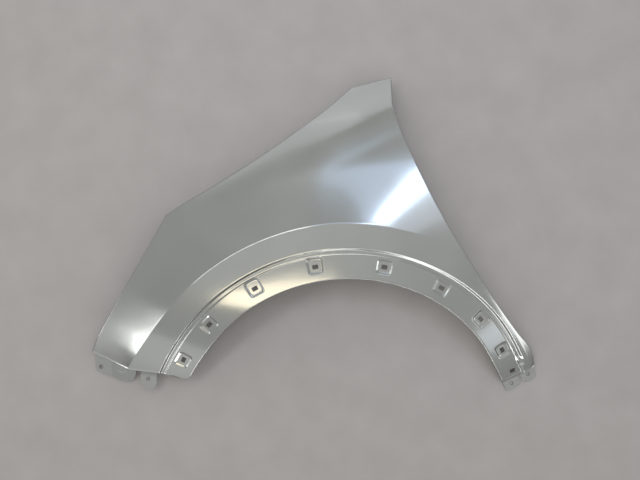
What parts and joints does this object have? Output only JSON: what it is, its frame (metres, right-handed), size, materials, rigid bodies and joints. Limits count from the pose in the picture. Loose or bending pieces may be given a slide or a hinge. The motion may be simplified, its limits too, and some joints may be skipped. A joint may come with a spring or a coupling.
{
  "type": "car fender",
  "caption": "Left front fender of a car: a pressed steel panel with a flared wheel arch, a stepped recess for the arch moulding, folded edges and bolt tabs.",
  "frame": {"origin": "middle of the box, at floor level, with the fender lying outer face up", "axes": "+X rearward in the car, +Y up in the car, +Z out of the car's left side, which is up as the fender lies"},
  "size_m": [0.9306, 0.787, 0.1286],
  "materials": {
    "silver_paint": "clear-coated silver paint with fine metal flake, slightly green grey"
  },
  "bodies": {
    "root": {"fender_panel": "silver_paint"}
  },
  "joints": []
}
